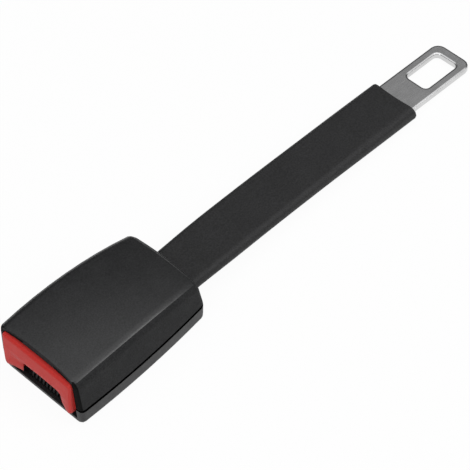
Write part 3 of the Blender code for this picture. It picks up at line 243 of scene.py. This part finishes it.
class Sketch(Wiring):
    """Shader of one material."""

    def __init__(self, name: str) -> None:
        """Start a material that holds a Principled BSDF.

        Args:
            name: The material's name.
        """
        self.material = bpy.data.materials.new(name)
        self.material.use_nodes = True
        super().__init__(self.material.node_tree)
        self.shader = self.tree.nodes["Principled BSDF"]
        self.place = self.add("ShaderNodeTexCoord").outputs["Object"]

    def give(self, value: Socket | Colour | float, name: str) -> None:
        """Give one of the Principled BSDF's inputs its value.

        Args:
            value: A socket to link, or a plain colour or number.
            name: The input's name.
        """
        self.feed(value, self.shader.inputs[name])

    def stretched(self, scale: Triple) -> Socket:
        """Object coordinates with a scale for each axis.

        Args:
            scale: Scale along X, Y and Z.

        Returns:
            The scaled coordinates.
        """
        mapping = self.add("ShaderNodeMapping", Scale=scale)
        self.join(self.place, mapping.inputs["Vector"])
        return mapping.outputs["Vector"]

    def noise(self, scale: float, detail: float, where: Socket | None = None) -> Socket:
        """Cloudy pattern from 0 to 1.

        Args:
            scale: Features per metre.
            detail: Octaves of finer pattern.
            where: Coordinates to read, or None for Object coordinates.

        Returns:
            The pattern's value.
        """
        node = self.add(
            "ShaderNodeTexNoise", Scale=scale, Detail=detail, Roughness=DETAIL_SHARE
        )
        self.join(where or self.place, node.inputs["Vector"])
        return node.outputs["Fac"]

    def between(self, pattern: Socket, low: float, high: float) -> Socket:
        """Map the middle of a pattern onto a range.

        Args:
            pattern: A value from 0 to 1.
            low: Value at the pattern's dark parts.
            high: Value at its bright parts.

        Returns:
            The mapped value.
        """
        node = self.add(
            "ShaderNodeMapRange",
            From_Min=PATTERN_DARK,
            From_Max=PATTERN_BRIGHT,
            To_Min=low,
            To_Max=high,
        )
        self.join(pattern, node.inputs["Value"])
        return node.outputs["Result"]

    def drifting(self, pattern: Socket, dark: Colour, light: Colour) -> Socket:
        """Colour that follows a pattern.

        Args:
            pattern: A value from 0 to 1.
            dark: Colour at the pattern's dark parts.
            light: Colour at its bright parts.

        Returns:
            The colour.
        """
        return self.mix(Mix.COLOUR, self.between(pattern, 0.0, 1.0), dark, light)

    def level_band(self, height: float, core: float, edge: float) -> Socket:
        """Share of a level band round a height.

        Args:
            height: Height of the band's middle.
            core: Half height inside which the share is 1.
            edge: Half height outside which it is 0.

        Returns:
            The share.
        """
        parts = self.add("ShaderNodeSeparateXYZ")
        self.join(self.place, parts.inputs[0])
        away = self.calculate("ABSOLUTE", self.calculate("SUBTRACT", parts.outputs["Z"], height))
        share = self.add(
            "ShaderNodeMapRange", From_Min=core, From_Max=edge, To_Min=1.0, To_Max=0.0
        )
        self.join(away, share.inputs["Value"])
        return share.outputs["Result"]

    def relief(self, *heights: tuple[Socket, float, float]) -> None:
        """Give the shader a chain of bumps.

        Args:
            *heights: For each bump its pattern, strength and height in metres.
        """
        normal = None
        for pattern, strength, distance in heights:
            bump = self.add("ShaderNodeBump", Strength=strength, Distance=distance)
            self.join(pattern, bump.inputs["Height"])
            if normal:
                self.join(normal, bump.inputs["Normal"])
            normal = bump.outputs["Normal"]
        self.give(normal, "Normal")


def scaled(colour: Colour, share: float) -> Colour:
    """Darken or lighten a colour by a share."""
    return tuple(channel * share for channel in colour)


# Finishes


@dataclass(frozen=True)
class MouldedPlastic:
    """Spark-grained plastic from a mould.

    Attributes:
        name: The material's name.
        colour: Base colour.
        roughness: Mean roughness.
        spread: How far the roughness drifts either way.
        patches: Patches of other roughness per metre.
        grain: Grains per metre.
        grain_height: Height of the grain.
        grain_strength: How strongly its slopes turn the light.
        speckle: Share by which each grain's colour differs.
        clouds: Clouds of other colour per metre.
        mottle: Share by which the colour drifts with them.
        gloss: Specular level.
        seam: Height of the parting line. A band round it is painted near black and matt as painted
            shade in the gap between the halves. None leaves out the band.
    """

    name: str
    colour: Colour
    roughness: float
    spread: float = 0.04
    patches: float = 160.0
    grain: float = 1500.0
    grain_height: float = 0.05 * MM
    grain_strength: float = 0.5
    speckle: float = 0.45
    clouds: float = 70.0
    mottle: float = 0.12
    gloss: float = 0.5
    seam: float | None = None

    def material(self) -> bpy.types.Material:
        """Build the shader."""
        sketch = Sketch(self.name)
        grain = sketch.noise(self.grain, GRAIN_DETAIL)
        grained = sketch.drifting(
            grain, scaled(self.colour, 1.0 - self.speckle), scaled(self.colour, 1.0 + self.speckle)
        )
        clouded = sketch.drifting(
            sketch.noise(self.clouds, CLOUD_DETAIL),
            (1.0 - self.mottle,) * 3,
            (1.0 + self.mottle,) * 3,
        )
        colour = sketch.mix(Mix.COLOUR, 1.0, grained, clouded, "MULTIPLY")
        patch = sketch.noise(self.patches, PATCH_DETAIL)
        roughness = sketch.between(
            patch, self.roughness - self.spread, self.roughness + self.spread
        )
        gloss = self.gloss
        # Painted shade: the band round the parting line turns near black, fully rough and without
        # gloss.
        if self.seam is not None:
            groove_shade = sketch.level_band(self.seam, GROOVE_SHADE_CORE, GROOVE_SHADE_EDGE)
            colour = sketch.mix(Mix.COLOUR, groove_shade, colour, GROOVE_PAINTED_SHADE)
            roughness = sketch.mix(Mix.NUMBER, groove_shade, roughness, 1.0)
            gloss = sketch.mix(Mix.NUMBER, groove_shade, gloss, 0.0)
        sketch.give(colour, "Base Color")
        sketch.give(roughness, "Roughness")
        sketch.give(gloss, "Specular IOR Level")
        sketch.relief((grain, self.grain_strength, self.grain_height))
        return sketch.material


@dataclass(frozen=True)
class Metal:
    """Metal with rolling or polishing lines along the extender.

    Attributes:
        name: The material's name.
        colour: Reflected colour.
        roughness: Mean roughness.
        spread: How far the roughness drifts either way.
        lines: Lines per metre across.
        line_height: Height of the lines.
        line_strength: How strongly their slopes turn the light.
        draw: Scale of the lines' pattern along X, Y and Z, small where they are drawn out.
        clouds: Clouds of other colour per metre.
        dull: Share of the colour in the darkest clouds.
        bright: Share of the colour in the lightest clouds.
    """

    name: str
    colour: Colour
    roughness: float
    spread: float = 0.06
    lines: float = 3200.0
    line_height: float = 0.004 * MM
    line_strength: float = 0.4
    draw: Triple = (0.04, 1.0, 1.0)
    clouds: float = 120.0
    dull: float = 0.9
    bright: float = 1.06

    def material(self) -> bpy.types.Material:
        """Build the shader."""
        sketch = Sketch(self.name)
        line = sketch.noise(self.lines, CLOUD_DETAIL, sketch.stretched(self.draw))
        colour = sketch.drifting(
            sketch.noise(self.clouds, CLOUD_DETAIL),
            scaled(self.colour, self.dull),
            scaled(self.colour, self.bright),
        )
        roughness = sketch.between(
            line, self.roughness - self.spread, self.roughness + self.spread
        )
        sketch.give(colour, "Base Color")
        sketch.give(roughness, "Roughness")
        sketch.give(1.0, "Metallic")
        sketch.relief((line, self.line_strength, self.line_height))
        return sketch.material


@dataclass(frozen=True)
class WovenCloth:
    """Cloth woven from coarse yarns, with its warp along the extender.

    Attributes:
        name: The material's name.
        colour: Yarn colour.
        yarns: Warp yarns per metre across the cloth.
        yarn_height: Height of a yarn.
        warp_strength: How strongly the warp's slopes turn the light.
        weft_strength: How strongly the weft's slopes turn the light.
        wobble: How far the weft strays from straight.
        wobble_scale: How quickly it strays.
        speckle: Share by which the colour differs between a yarn and the gap beside it.
        roughness: Roughness.
        sheen: Weight of the fuzz on the yarns.
    """

    name: str
    colour: Colour
    yarns: float = 900.0
    yarn_height: float = 0.12 * MM
    warp_strength: float = 0.6
    weft_strength: float = 0.5
    wobble: float = 1.5
    wobble_scale: float = 2.0
    speckle: float = 0.3
    roughness: float = 0.85
    sheen: float = 0.2

    def material(self) -> bpy.types.Material:
        """Build the shader."""
        sketch = Sketch(self.name)
        warp = sketch.add(
            "ShaderNodeTexWave", {"bands_direction": "Y"}, Scale=self.yarns / WARP_YARNS
        )
        weft = sketch.add(
            "ShaderNodeTexWave",
            {"bands_direction": "X"},
            Scale=self.yarns / WEFT_YARNS,
            Distortion=self.wobble,
            Detail_Scale=self.wobble_scale,
        )
        for wave in (warp, weft):
            sketch.join(sketch.place, wave.inputs["Vector"])
        colour = sketch.mix(
            Mix.COLOUR,
            warp.outputs["Fac"],
            scaled(self.colour, 1.0 - self.speckle),
            scaled(self.colour, 1.0 + self.speckle),
        )
        sketch.give(colour, "Base Color")
        sketch.give(self.roughness, "Roughness")
        sketch.give(self.sheen, "Sheen Weight")
        sketch.relief(
            (warp.outputs["Fac"], self.warp_strength, self.yarn_height),
            (weft.outputs["Fac"], self.weft_strength, self.yarn_height),
        )
        return sketch.material


class Finishes:
    """Every finish on the extender, built once."""

    def __init__(self) -> None:
        """Build the materials."""
        cover_black = (0.013, 0.0133, 0.0138)
        self.cover = MouldedPlastic("cover_plastic", cover_black, 0.34).material()
        # The wall and tray finishes carry the painted shade along the parting line.
        self.wall = MouldedPlastic(
            "cover_wall_plastic", cover_black, 0.75, gloss=0.24, seam=PARTING_HEIGHT
        ).material()
        self.tray = MouldedPlastic(
            "tray_plastic", (0.018, 0.018, 0.0185), 0.5, gloss=0.32, seam=PARTING_HEIGHT
        ).material()
        # Painted shade: a darker, matt copy of the cover's black for the front faces round the
        # button, which lie in shade.
        self.bezel_shade = MouldedPlastic(
            "bezel_painted_shade", (0.006, 0.006, 0.006), 0.7, gloss=0.04
        ).material()
        self.button = MouldedPlastic(
            "button_plastic",
            (0.5, 0.025, 0.02),
            0.5,
            grain_height=0.006 * MM,
            speckle=0.04,
            mottle=0.04,
            gloss=0.24,
        ).material()
        self.inner = MouldedPlastic("inner_plastic", (0.25, 0.25, 0.26), 0.5).material()
        self.sheath = MouldedPlastic(
            "sheath_plastic",
            (0.0135, 0.0135, 0.014),
            0.62,
            grain=1400.0,
            grain_height=0.03 * MM,
            gloss=0.38,
        ).material()
        self.frame = Metal("frame_zinc", (0.62, 0.61, 0.57), 0.38).material()
        self.latch = Metal("latch_steel", (0.34, 0.34, 0.35), 0.34).material()
        self.spring = Metal("spring_wire", (0.45, 0.45, 0.46), 0.28).material()
        self.tongue = Metal("tongue_chrome", (0.64, 0.64, 0.64), 0.16).material()
        self.webbing = WovenCloth("webbing_cloth", (0.02, 0.02, 0.021)).material()
        self.thread = WovenCloth("seam_thread", (0.03, 0.03, 0.03), yarns=2400.0).material()


# Meshes


@dataclass(frozen=True)
class Softening:
    """How a moulded piece's edges are broken.

    Attributes:
        radius: Radius of the broken edges.
        steps: Facets across each of them.
        sharper_than: Smallest turn between two faces that counts as an edge.
    """

    radius: float
    steps: int = 2
    sharper_than: float = math.radians(38)


def merged_copy(node: str) -> bmesh.types.BMesh:
    """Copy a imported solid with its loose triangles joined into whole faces.

    Args:
        node: The solid's name.

    Returns:
        Its closed mesh.
    """
    bm = bmesh.new()
    bm.from_mesh(bpy.data.objects[node].data)
    bmesh.ops.remove_doubles(bm, verts=bm.verts, dist=WELD_DISTANCE)
    bmesh.ops.dissolve_limit(bm, angle_limit=FLAT_TURN, verts=bm.verts, edges=bm.edges)
    return bm


def soften(bm: bmesh.types.BMesh, softening: Softening) -> None:
    """Round every edge that is sharper than the softening's limit.

    Args:
        bm: The mesh to change.
        softening: Radius, steps and limit.
    """
    edges = [
        edge
        for edge in bm.edges
        if len(edge.link_faces) == 2 and edge.calc_face_angle() > softening.sharper_than
    ]
    bmesh.ops.bevel(
        bm,
        geom=edges,
        offset=softening.radius,
        segments=softening.steps,
        profile=0.5,
        affect="EDGES",
        material=-1,
        clamp_overlap=True,
    )


def show(name: str, bm: bmesh.types.BMesh, *finishes: bpy.types.Material) -> bpy.types.Object:
    """Turn a mesh into a smooth-shaded piece.

    Args:
        name: The piece's name.
        bm: Its mesh, which is freed.
        *finishes: Its materials, in the order of its faces' material indices.

    Returns:
        The linked object.
    """
    mesh = bpy.data.meshes.new(name)
    bm.to_mesh(mesh)
    bm.free()
    for finish in finishes:
        mesh.materials.append(finish)
    mesh.shade_smooth()
    mesh.set_sharp_from_angle(angle=CREASE_TURN)
    piece = bpy.data.objects.new(name, mesh)
    bpy.context.scene.collection.objects.link(piece)
    weighted = piece.modifiers.new("even_shading", "WEIGHTED_NORMAL")
    weighted.keep_sharp = True
    return piece


def stand_for(piece: bpy.types.Object, node: str, body: Body) -> None:
    """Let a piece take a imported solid's place.

    Args:
        piece: The finished piece.
        node: The solid that it stands for.
        body: The body that it moves with.
    """
    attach(piece, body.value)
    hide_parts(node)
    LOG.info("%s stands for %s", piece.name, node)


def dress(node: str, finish: bpy.types.Material) -> None:
    """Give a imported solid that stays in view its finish.

    Args:
        node: The solid's name.
        finish: Its material.
    """
    solid = bpy.data.objects[node]
    solid.data.materials.clear()
    solid.data.materials.append(finish)
    LOG.info("%s keeps its solid", node)


# Sub-assemblies


@dataclass
class Assembly(ABC):
    """Pieces of the extender that are finished together.

    Attributes:
        finishes: The finishes to take from.
    """

    finishes: Finishes

    @abstractmethod
    def build(self) -> None:
        """Build or dress every piece."""


@dataclass
class Housing(Assembly):
    """Moulded shell of the buckle: crowned cover above the seam and tray below it. The cover's
    front faces round the button get a darker matt copy of its plastic as painted shade.

    Attributes:
        cover_edges: Breaking of the cover's edges.
        tray_edges: Breaking of the tray's edges.
        bezel_end: X behind which no face gets the painted shade round the button.
        bezel_half_width: Y beyond which a forward face lies beside the button.
        bezel_facing: Largest X of the normal of a face that gets that painted shade.
        wall_facing: Z of a face's normal under which the face is part of a wall.
    """

    cover_edges: Softening = Softening(0.3 * MM)
    tray_edges: Softening = Softening(0.25 * MM)
    bezel_end: float = -34.0 * MM
    bezel_half_width: float = 21.0 * MM
    bezel_facing: float = -0.45
    wall_facing: float = 0.74

    def build(self) -> None:
        """Build both halves."""
        cover = merged_copy("upper_cover")
        soften(cover, self.cover_edges)
        self.mark_finishes(cover)
        finish_of = {
            CoverFace.TOP: self.finishes.cover,
            CoverFace.WALL: self.finishes.wall,
            CoverFace.BEZEL: self.finishes.bezel_shade,
        }
        stand_for(
            show("cover_shell", cover, *(finish_of[kind] for kind in CoverFace)),
            "upper_cover", Body.HOUSING,
        )
        tray = merged_copy("lower_cover")
        soften(tray, self.tray_edges)
        stand_for(
            show("tray_shell", tray, self.finishes.tray),
            "lower_cover", Body.HOUSING,
        )

    def mark_finishes(self, bm: bmesh.types.BMesh) -> None:
        """Tell the walls' faces, and the faces round the button that get painted shade, from the
        top's.

        Args:
            bm: The cover's mesh.
        """
        for face in bm.faces:
            place = face.calc_center_median()
            sideways = abs(face.normal.y) > abs(face.normal.z)
            beside = abs(place.y) > self.bezel_half_width or sideways
            # Painted shade: forward faces round the button take the near-black matt finish.
            if beside and place.x < self.bezel_end and face.normal.x < self.bezel_facing:
                face.material_index = CoverFace.BEZEL
            elif face.normal.z < self.wall_facing:
                face.material_index = CoverFace.WALL


@dataclass
class PressButton(Assembly):
    """Red button with its arched opening.

    Attributes:
        edges: Breaking of its edges.
    """

    edges: Softening = Softening(0.25 * MM)

    def build(self) -> None:
        """Build the button."""
        button = merged_copy("press_button")
        soften(button, self.edges)
        stand_for(
            show("button_cap", button, self.finishes.button),
            "press_button", Body.BUTTON,
        )


@dataclass
class Mechanism(Assembly):
    """Stamped and sprung pieces inside the buckle."""

    def build(self) -> None:
        """Dress the inner solids."""
        for node in ("buckle_frame", "guide_plate"):
            dress(node, self.finishes.frame)
        for node in ("latch_plate", "lock_bar"):
            dress(node, self.finishes.latch)
        for node in ("ejector", "spring_carrier"):
            dress(node, self.finishes.inner)
        for node in ("latch_spring", "ejector_spring", "button_spring_left", "button_spring_right"):
            dress(node, self.finishes.spring)


@dataclass
class Strap(Assembly):
    """Webbing loop with its seam, inside a sheath.

    Attributes:
        edges: Breaking of the sheath's edges.
    """

    edges: Softening = Softening(0.2 * MM)

    def build(self) -> None:
        """Build the sheath and dress the webbing."""
        sheath = merged_copy("strap_sheath")
        soften(sheath, self.edges)
        stand_for(
            show("sheath_sleeve", sheath, self.finishes.sheath),
            "strap_sheath", Body.HOUSING,
        )
        dress("webbing_loop", self.finishes.webbing)
        dress("webbing_stitching", self.finishes.thread)


@dataclass
class Tongue(Assembly):
    """Windowed plate that plugs into another buckle.

    Attributes:
        level: Z of a face's normal over which the face belongs to a broad side.
        roll_off: How far the broad sides fall off before the rolled edges begin.
        shown_from: X from which the plate's rims are rolled.
    """

    level: float = 0.995
    roll_off: float = 0.35 * MM
    shown_from: float = 175.0 * MM

    def build(self) -> None:
        """Build the plate."""
        plate = merged_copy("tongue")
        self.roll_rims(plate)
        piece = show("tongue_plate", plate, self.finishes.tongue)
        self.crease_broad_sides(piece.data)
        stand_for(piece, "tongue", Body.HOUSING)

    def roll_rims(self, bm: bmesh.types.BMesh) -> None:
        """Let the broad sides fall off a little before the rolled edges begin.

        Args:
            bm: The plate's mesh.
        """
        rims = [
            edge
            for edge in bm.edges
            if len({abs(face.normal.z) > self.level for face in edge.link_faces}) == 2
            and min(vert.co.x for vert in edge.verts) > self.shown_from
        ]
        bmesh.ops.bevel(
            bm,
            geom=rims,
            offset=self.roll_off,
            segments=1,
            profile=0.5,
            affect="EDGES",
            material=-1,
            clamp_overlap=False,
        )

    def crease_broad_sides(self, mesh: bpy.types.Mesh) -> None:
        """Keep the line crisp at which the broad sides end.

        Args:
            mesh: The plate's mesh.
        """
        beside = {}
        for face in mesh.polygons:
            for key in face.edge_keys:
                beside.setdefault(key, set()).add(abs(face.normal.z) > self.level)
        for edge in mesh.edges:
            if len(beside[edge.key]) == 2:
                edge.use_edge_sharp = True


# Studio


@dataclass(frozen=True)
class Softbox:
    """Square studio lamp aimed at the middle of the extender.

    Attributes:
        name: The lamp's name.
        toward: Direction from the extender to the lamp.
        distance: How far away it hangs.
        size: Length of its sides.
        power: Its power in watts.
    """

    name: str
    toward: Triple
    distance: float
    size: float
    power: float

    def build(self, target: Vector) -> None:
        """Hang the lamp.

        Args:
            target: The place that it is aimed at.
        """
        lamp = bpy.data.lights.new(self.name, "AREA")
        lamp.energy = self.power
        lamp.size = self.size
        direction = Vector(self.toward).normalized()
        box = bpy.data.objects.new(self.name, lamp)
        box.location = target + direction * self.distance
        box.rotation_mode = "QUATERNION"
        box.rotation_quaternion = direction.to_track_quat("Z", "Y")
        bpy.context.scene.collection.objects.link(box)


@dataclass(frozen=True)
class Floor:
    """White floor that keeps a faint shadow.

    Attributes:
        drop: How far it lies under the extender.
        reach: Its radius.
        corners: Corners of its outline.
        colour: Its colour where light falls on it.
        roughness: Its roughness.
        gloss: Its specular level.
        glow: Share of plain white that the camera and reflections see in it.
    """

    drop: float = 0.2 * MM
    reach: float = 12.0
    corners: int = 64
    colour: Colour = (0.8, 0.8, 0.8)
    roughness: float = 0.9
    gloss: float = 0.1
    glow: float = 0.95

    def build(self) -> None:
        """Lay the floor."""
        bm = bmesh.new()
        bmesh.ops.create_circle(bm, cap_ends=True, radius=self.reach, segments=self.corners)
        bmesh.ops.translate(bm, verts=bm.verts, vec=(0.0, 0.0, -self.drop))
        mesh = bpy.data.meshes.new("studio_floor")
        bm.to_mesh(mesh)
        bm.free()
        floor = bpy.data.objects.new("studio_floor", mesh)
        bpy.context.scene.collection.objects.link(floor)
        mesh.materials.append(self.material())
        floor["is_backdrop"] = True

    def material(self) -> bpy.types.Material:
        """Build the finish, which shows white to the camera and in reflections."""
        sketch = Sketch("floor_white")
        sketch.give(self.colour, "Base Color")
        sketch.give(self.roughness, "Roughness")
        sketch.give(self.gloss, "Specular IOR Level")
        glow = sketch.add("ShaderNodeEmission", Strength=1.0)
        path = sketch.add("ShaderNodeLightPath")
        seen = path.outputs["Is Camera Ray"]
        for other in ("Is Glossy Ray", "Is Transmission Ray"):
            seen = sketch.calculate("MAXIMUM", seen, path.outputs[other])
        blend = sketch.add("ShaderNodeMixShader")
        sketch.join(sketch.calculate("MULTIPLY", seen, self.glow), blend.inputs["Fac"])
        sketch.join(sketch.shader.outputs["BSDF"], blend.inputs[1])
        sketch.join(glow.outputs["Emission"], blend.inputs[2])
        output = sketch.tree.nodes["Material Output"]
        sketch.join(blend.outputs["Shader"], output.inputs["Surface"])
        return sketch.material


@dataclass(frozen=True)
class Sky:
    """Light from all round that is brightest overhead, as under a ceiling softbox.

    Attributes:
        pole: Direction of the brightest light.
        edge: Cosine of the angle from the pole at which the light begins.
        crown: Cosine of the angle from the pole inside which it is full.
        dark: Light outside that edge.
        light: Light inside that crown.
    """

    pole: Triple = (0.0, -0.2, 0.98)
    edge: float = 0.56
    crown: float = 0.85
    dark: Colour = (0.1, 0.1, 0.102)
    light: Colour = (1.45, 1.45, 1.46)

    def build(self) -> None:
        """Light the world."""
        world = bpy.data.worlds.new("studio_world")
        world.use_nodes = True
        wiring = Wiring(world.node_tree)
        around = wiring.add("ShaderNodeTexCoord")
        lean = wiring.add("ShaderNodeVectorMath", {"operation": "DOT_PRODUCT"})
        lean.inputs[1].default_value = Vector(self.pole).normalized()
        wiring.join(around.outputs["Generated"], lean.inputs[0])
        share = wiring.add(
            "ShaderNodeMapRange",
            {"interpolation_type": "SMOOTHSTEP"},
            From_Min=self.edge,
            From_Max=self.crown,
        )
        wiring.join(lean.outputs["Value"], share.inputs["Value"])
        colour = wiring.mix(Mix.COLOUR, share.outputs["Result"], self.dark, self.light)
        wiring.join(colour, wiring.tree.nodes["Background"].inputs["Color"])
        bpy.context.scene.world = world


@dataclass(frozen=True)
class PhotoCamera:
    """Camera at the place that the photograph was taken from.

    Attributes:
        place: Where it stands.
        turn: Its rotation, as W, X, Y and Z of a quaternion.
        lens: Focal length in millimetres.
        sensor: Width of its sensor in millimetres.
    """

    place: Triple = (-0.366587, -0.488076, 0.802388)
    turn: tuple[float, float, float, float] = (0.8649265, 0.3192336, -0.1101546, -0.3712924)
    lens: float = 180.2637
    sensor: float = 36.0

    def build(self) -> None:
        """Set up the camera."""
        camera = bpy.data.cameras.new("photo_camera")
        camera.lens = self.lens
        camera.sensor_width = self.sensor
        rig = bpy.data.objects.new("photo_camera", camera)
        rig.location = self.place
        rig.rotation_mode = "QUATERNION"
        rig.rotation_quaternion = Quaternion(self.turn)
        bpy.context.scene.collection.objects.link(rig)
        bpy.context.scene.camera = rig


@dataclass
class Studio:
    """Pale floor, lamps, sky and camera.

    Attributes:
        floor: The floor.
        sky: The light from all round.
        camera: The camera.
        lamps: The lamps, for the cover's ridge, the button and the tongue.
    """

    floor: Floor = Floor()
    sky: Sky = Sky()
    camera: PhotoCamera = PhotoCamera()
    lamps: tuple[Softbox, ...] = (
        Softbox("ridge_softbox", (0.42, -0.66, 0.62), 1.8, 0.8, 8.3),
        Softbox("front_softbox", (-0.85, -0.1, 0.35), 1.6, 0.7, 6.0),
        Softbox("tongue_softbox", (0.66, 0.428, 0.615), 1.26, 0.4, 0.1),
    )

    def build(self) -> None:
        """Set up the studio round the finished extender."""
        low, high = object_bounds()
        target = (low + high) / 2
        self.floor.build()
        for lamp in self.lamps:
            lamp.build(target)
        self.sky.build()
        self.camera.build()
        bpy.context.scene.view_settings.view_transform = "Standard"
        LOG.info("studio set up with %d lamps", len(self.lamps))


def main() -> None:
    """Build the extender's looks and the studio round it."""
    logging.basicConfig(level=logging.INFO, format="%(name)s: %(message)s")
    for thing in list(bpy.data.objects):
        bpy.data.objects.remove(thing)
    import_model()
    finishes = Finishes()
    for assembly in (Housing, PressButton, Mechanism, Strap, Tongue):
        assembly(finishes).build()
    Studio().build()


if __name__ == "__main__":
    main()
